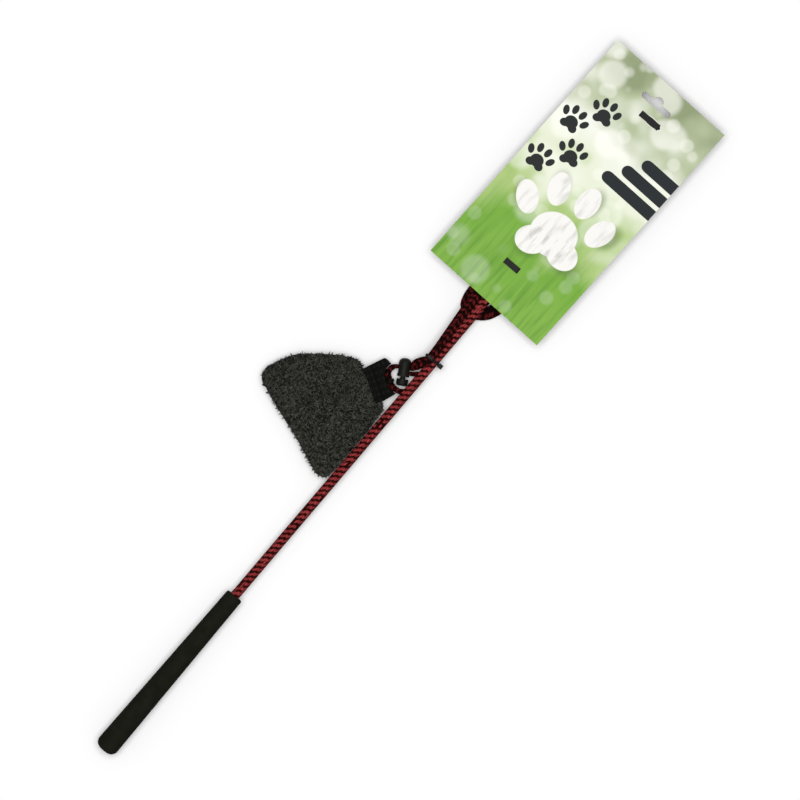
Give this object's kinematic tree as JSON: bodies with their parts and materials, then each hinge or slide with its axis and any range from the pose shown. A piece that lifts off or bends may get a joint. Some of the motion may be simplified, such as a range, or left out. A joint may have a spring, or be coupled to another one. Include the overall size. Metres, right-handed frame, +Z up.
{
  "type": "dog flirt pole",
  "caption": "Dog flirt pole: a braided whip rod with a foam grip, its cord folded behind a hang card and looped through a cord lock to a padded pile lure on a webbing tab.",
  "frame": {"origin": "middle of the footprint of pole, card and lure, on the table", "axes": "+X along the pole from the grip to the card, +Y to the lure's side, +Z up"},
  "size_m": [0.7668, 0.1732, 0.0205],
  "materials": {
    "foam": "matte closed-cell foam",
    "plug_rubber": "matte",
    "glass_fibre": "satin",
    "braid": "braided red cord with near-black chevrons",
    "lock_plastic": "fine moulded grain",
    "spring_steel": "drawn wire",
    "tie_nylon": "satin",
    "card": "printed, satin",
    "pile": "curly charcoal pile",
    "filling": "loose fibre",
    "webbing": "woven webbing"
  },
  "bodies": {
    "pole": {"grip": "foam", "butt_plug": "plug_rubber", "core_rod": "glass_fibre", "tip_cap": "plug_rubber", "braided_sleeve": "braid", "cord_folds": "braid", "cord_lead": "braid", "lock_barrel": "lock_plastic", "lock_spring": "spring_steel", "bundle_tie": "tie_nylon", "card_tie_lower": "tie_nylon", "card_tie_upper": "tie_nylon", "hang_card": "card"},
    "lure": {"lure_top_panel": "pile", "lure_under_panel": "pile", "lure_filling": "filling", "lure_tab": "webbing"},
    "button": {"lock_button": "lock_plastic"}
  },
  "joints": [
    {"name": "lure_swing", "type": "hinge", "parent": "pole", "child": "lure", "pos_m": [0.02625, -0.00301, 0.008], "axis": [0.5, 0.866, 0], "range_deg": [0, 100]},
    {"name": "lock_press", "type": "slide", "parent": "pole", "child": "button", "axis": [0.8572, 0.515, 0], "range_m": [0, 0.002], "stiffness_N_per_m": 300, "springref_m": -0.002, "deforming": ["lock_spring"]}
  ]
}
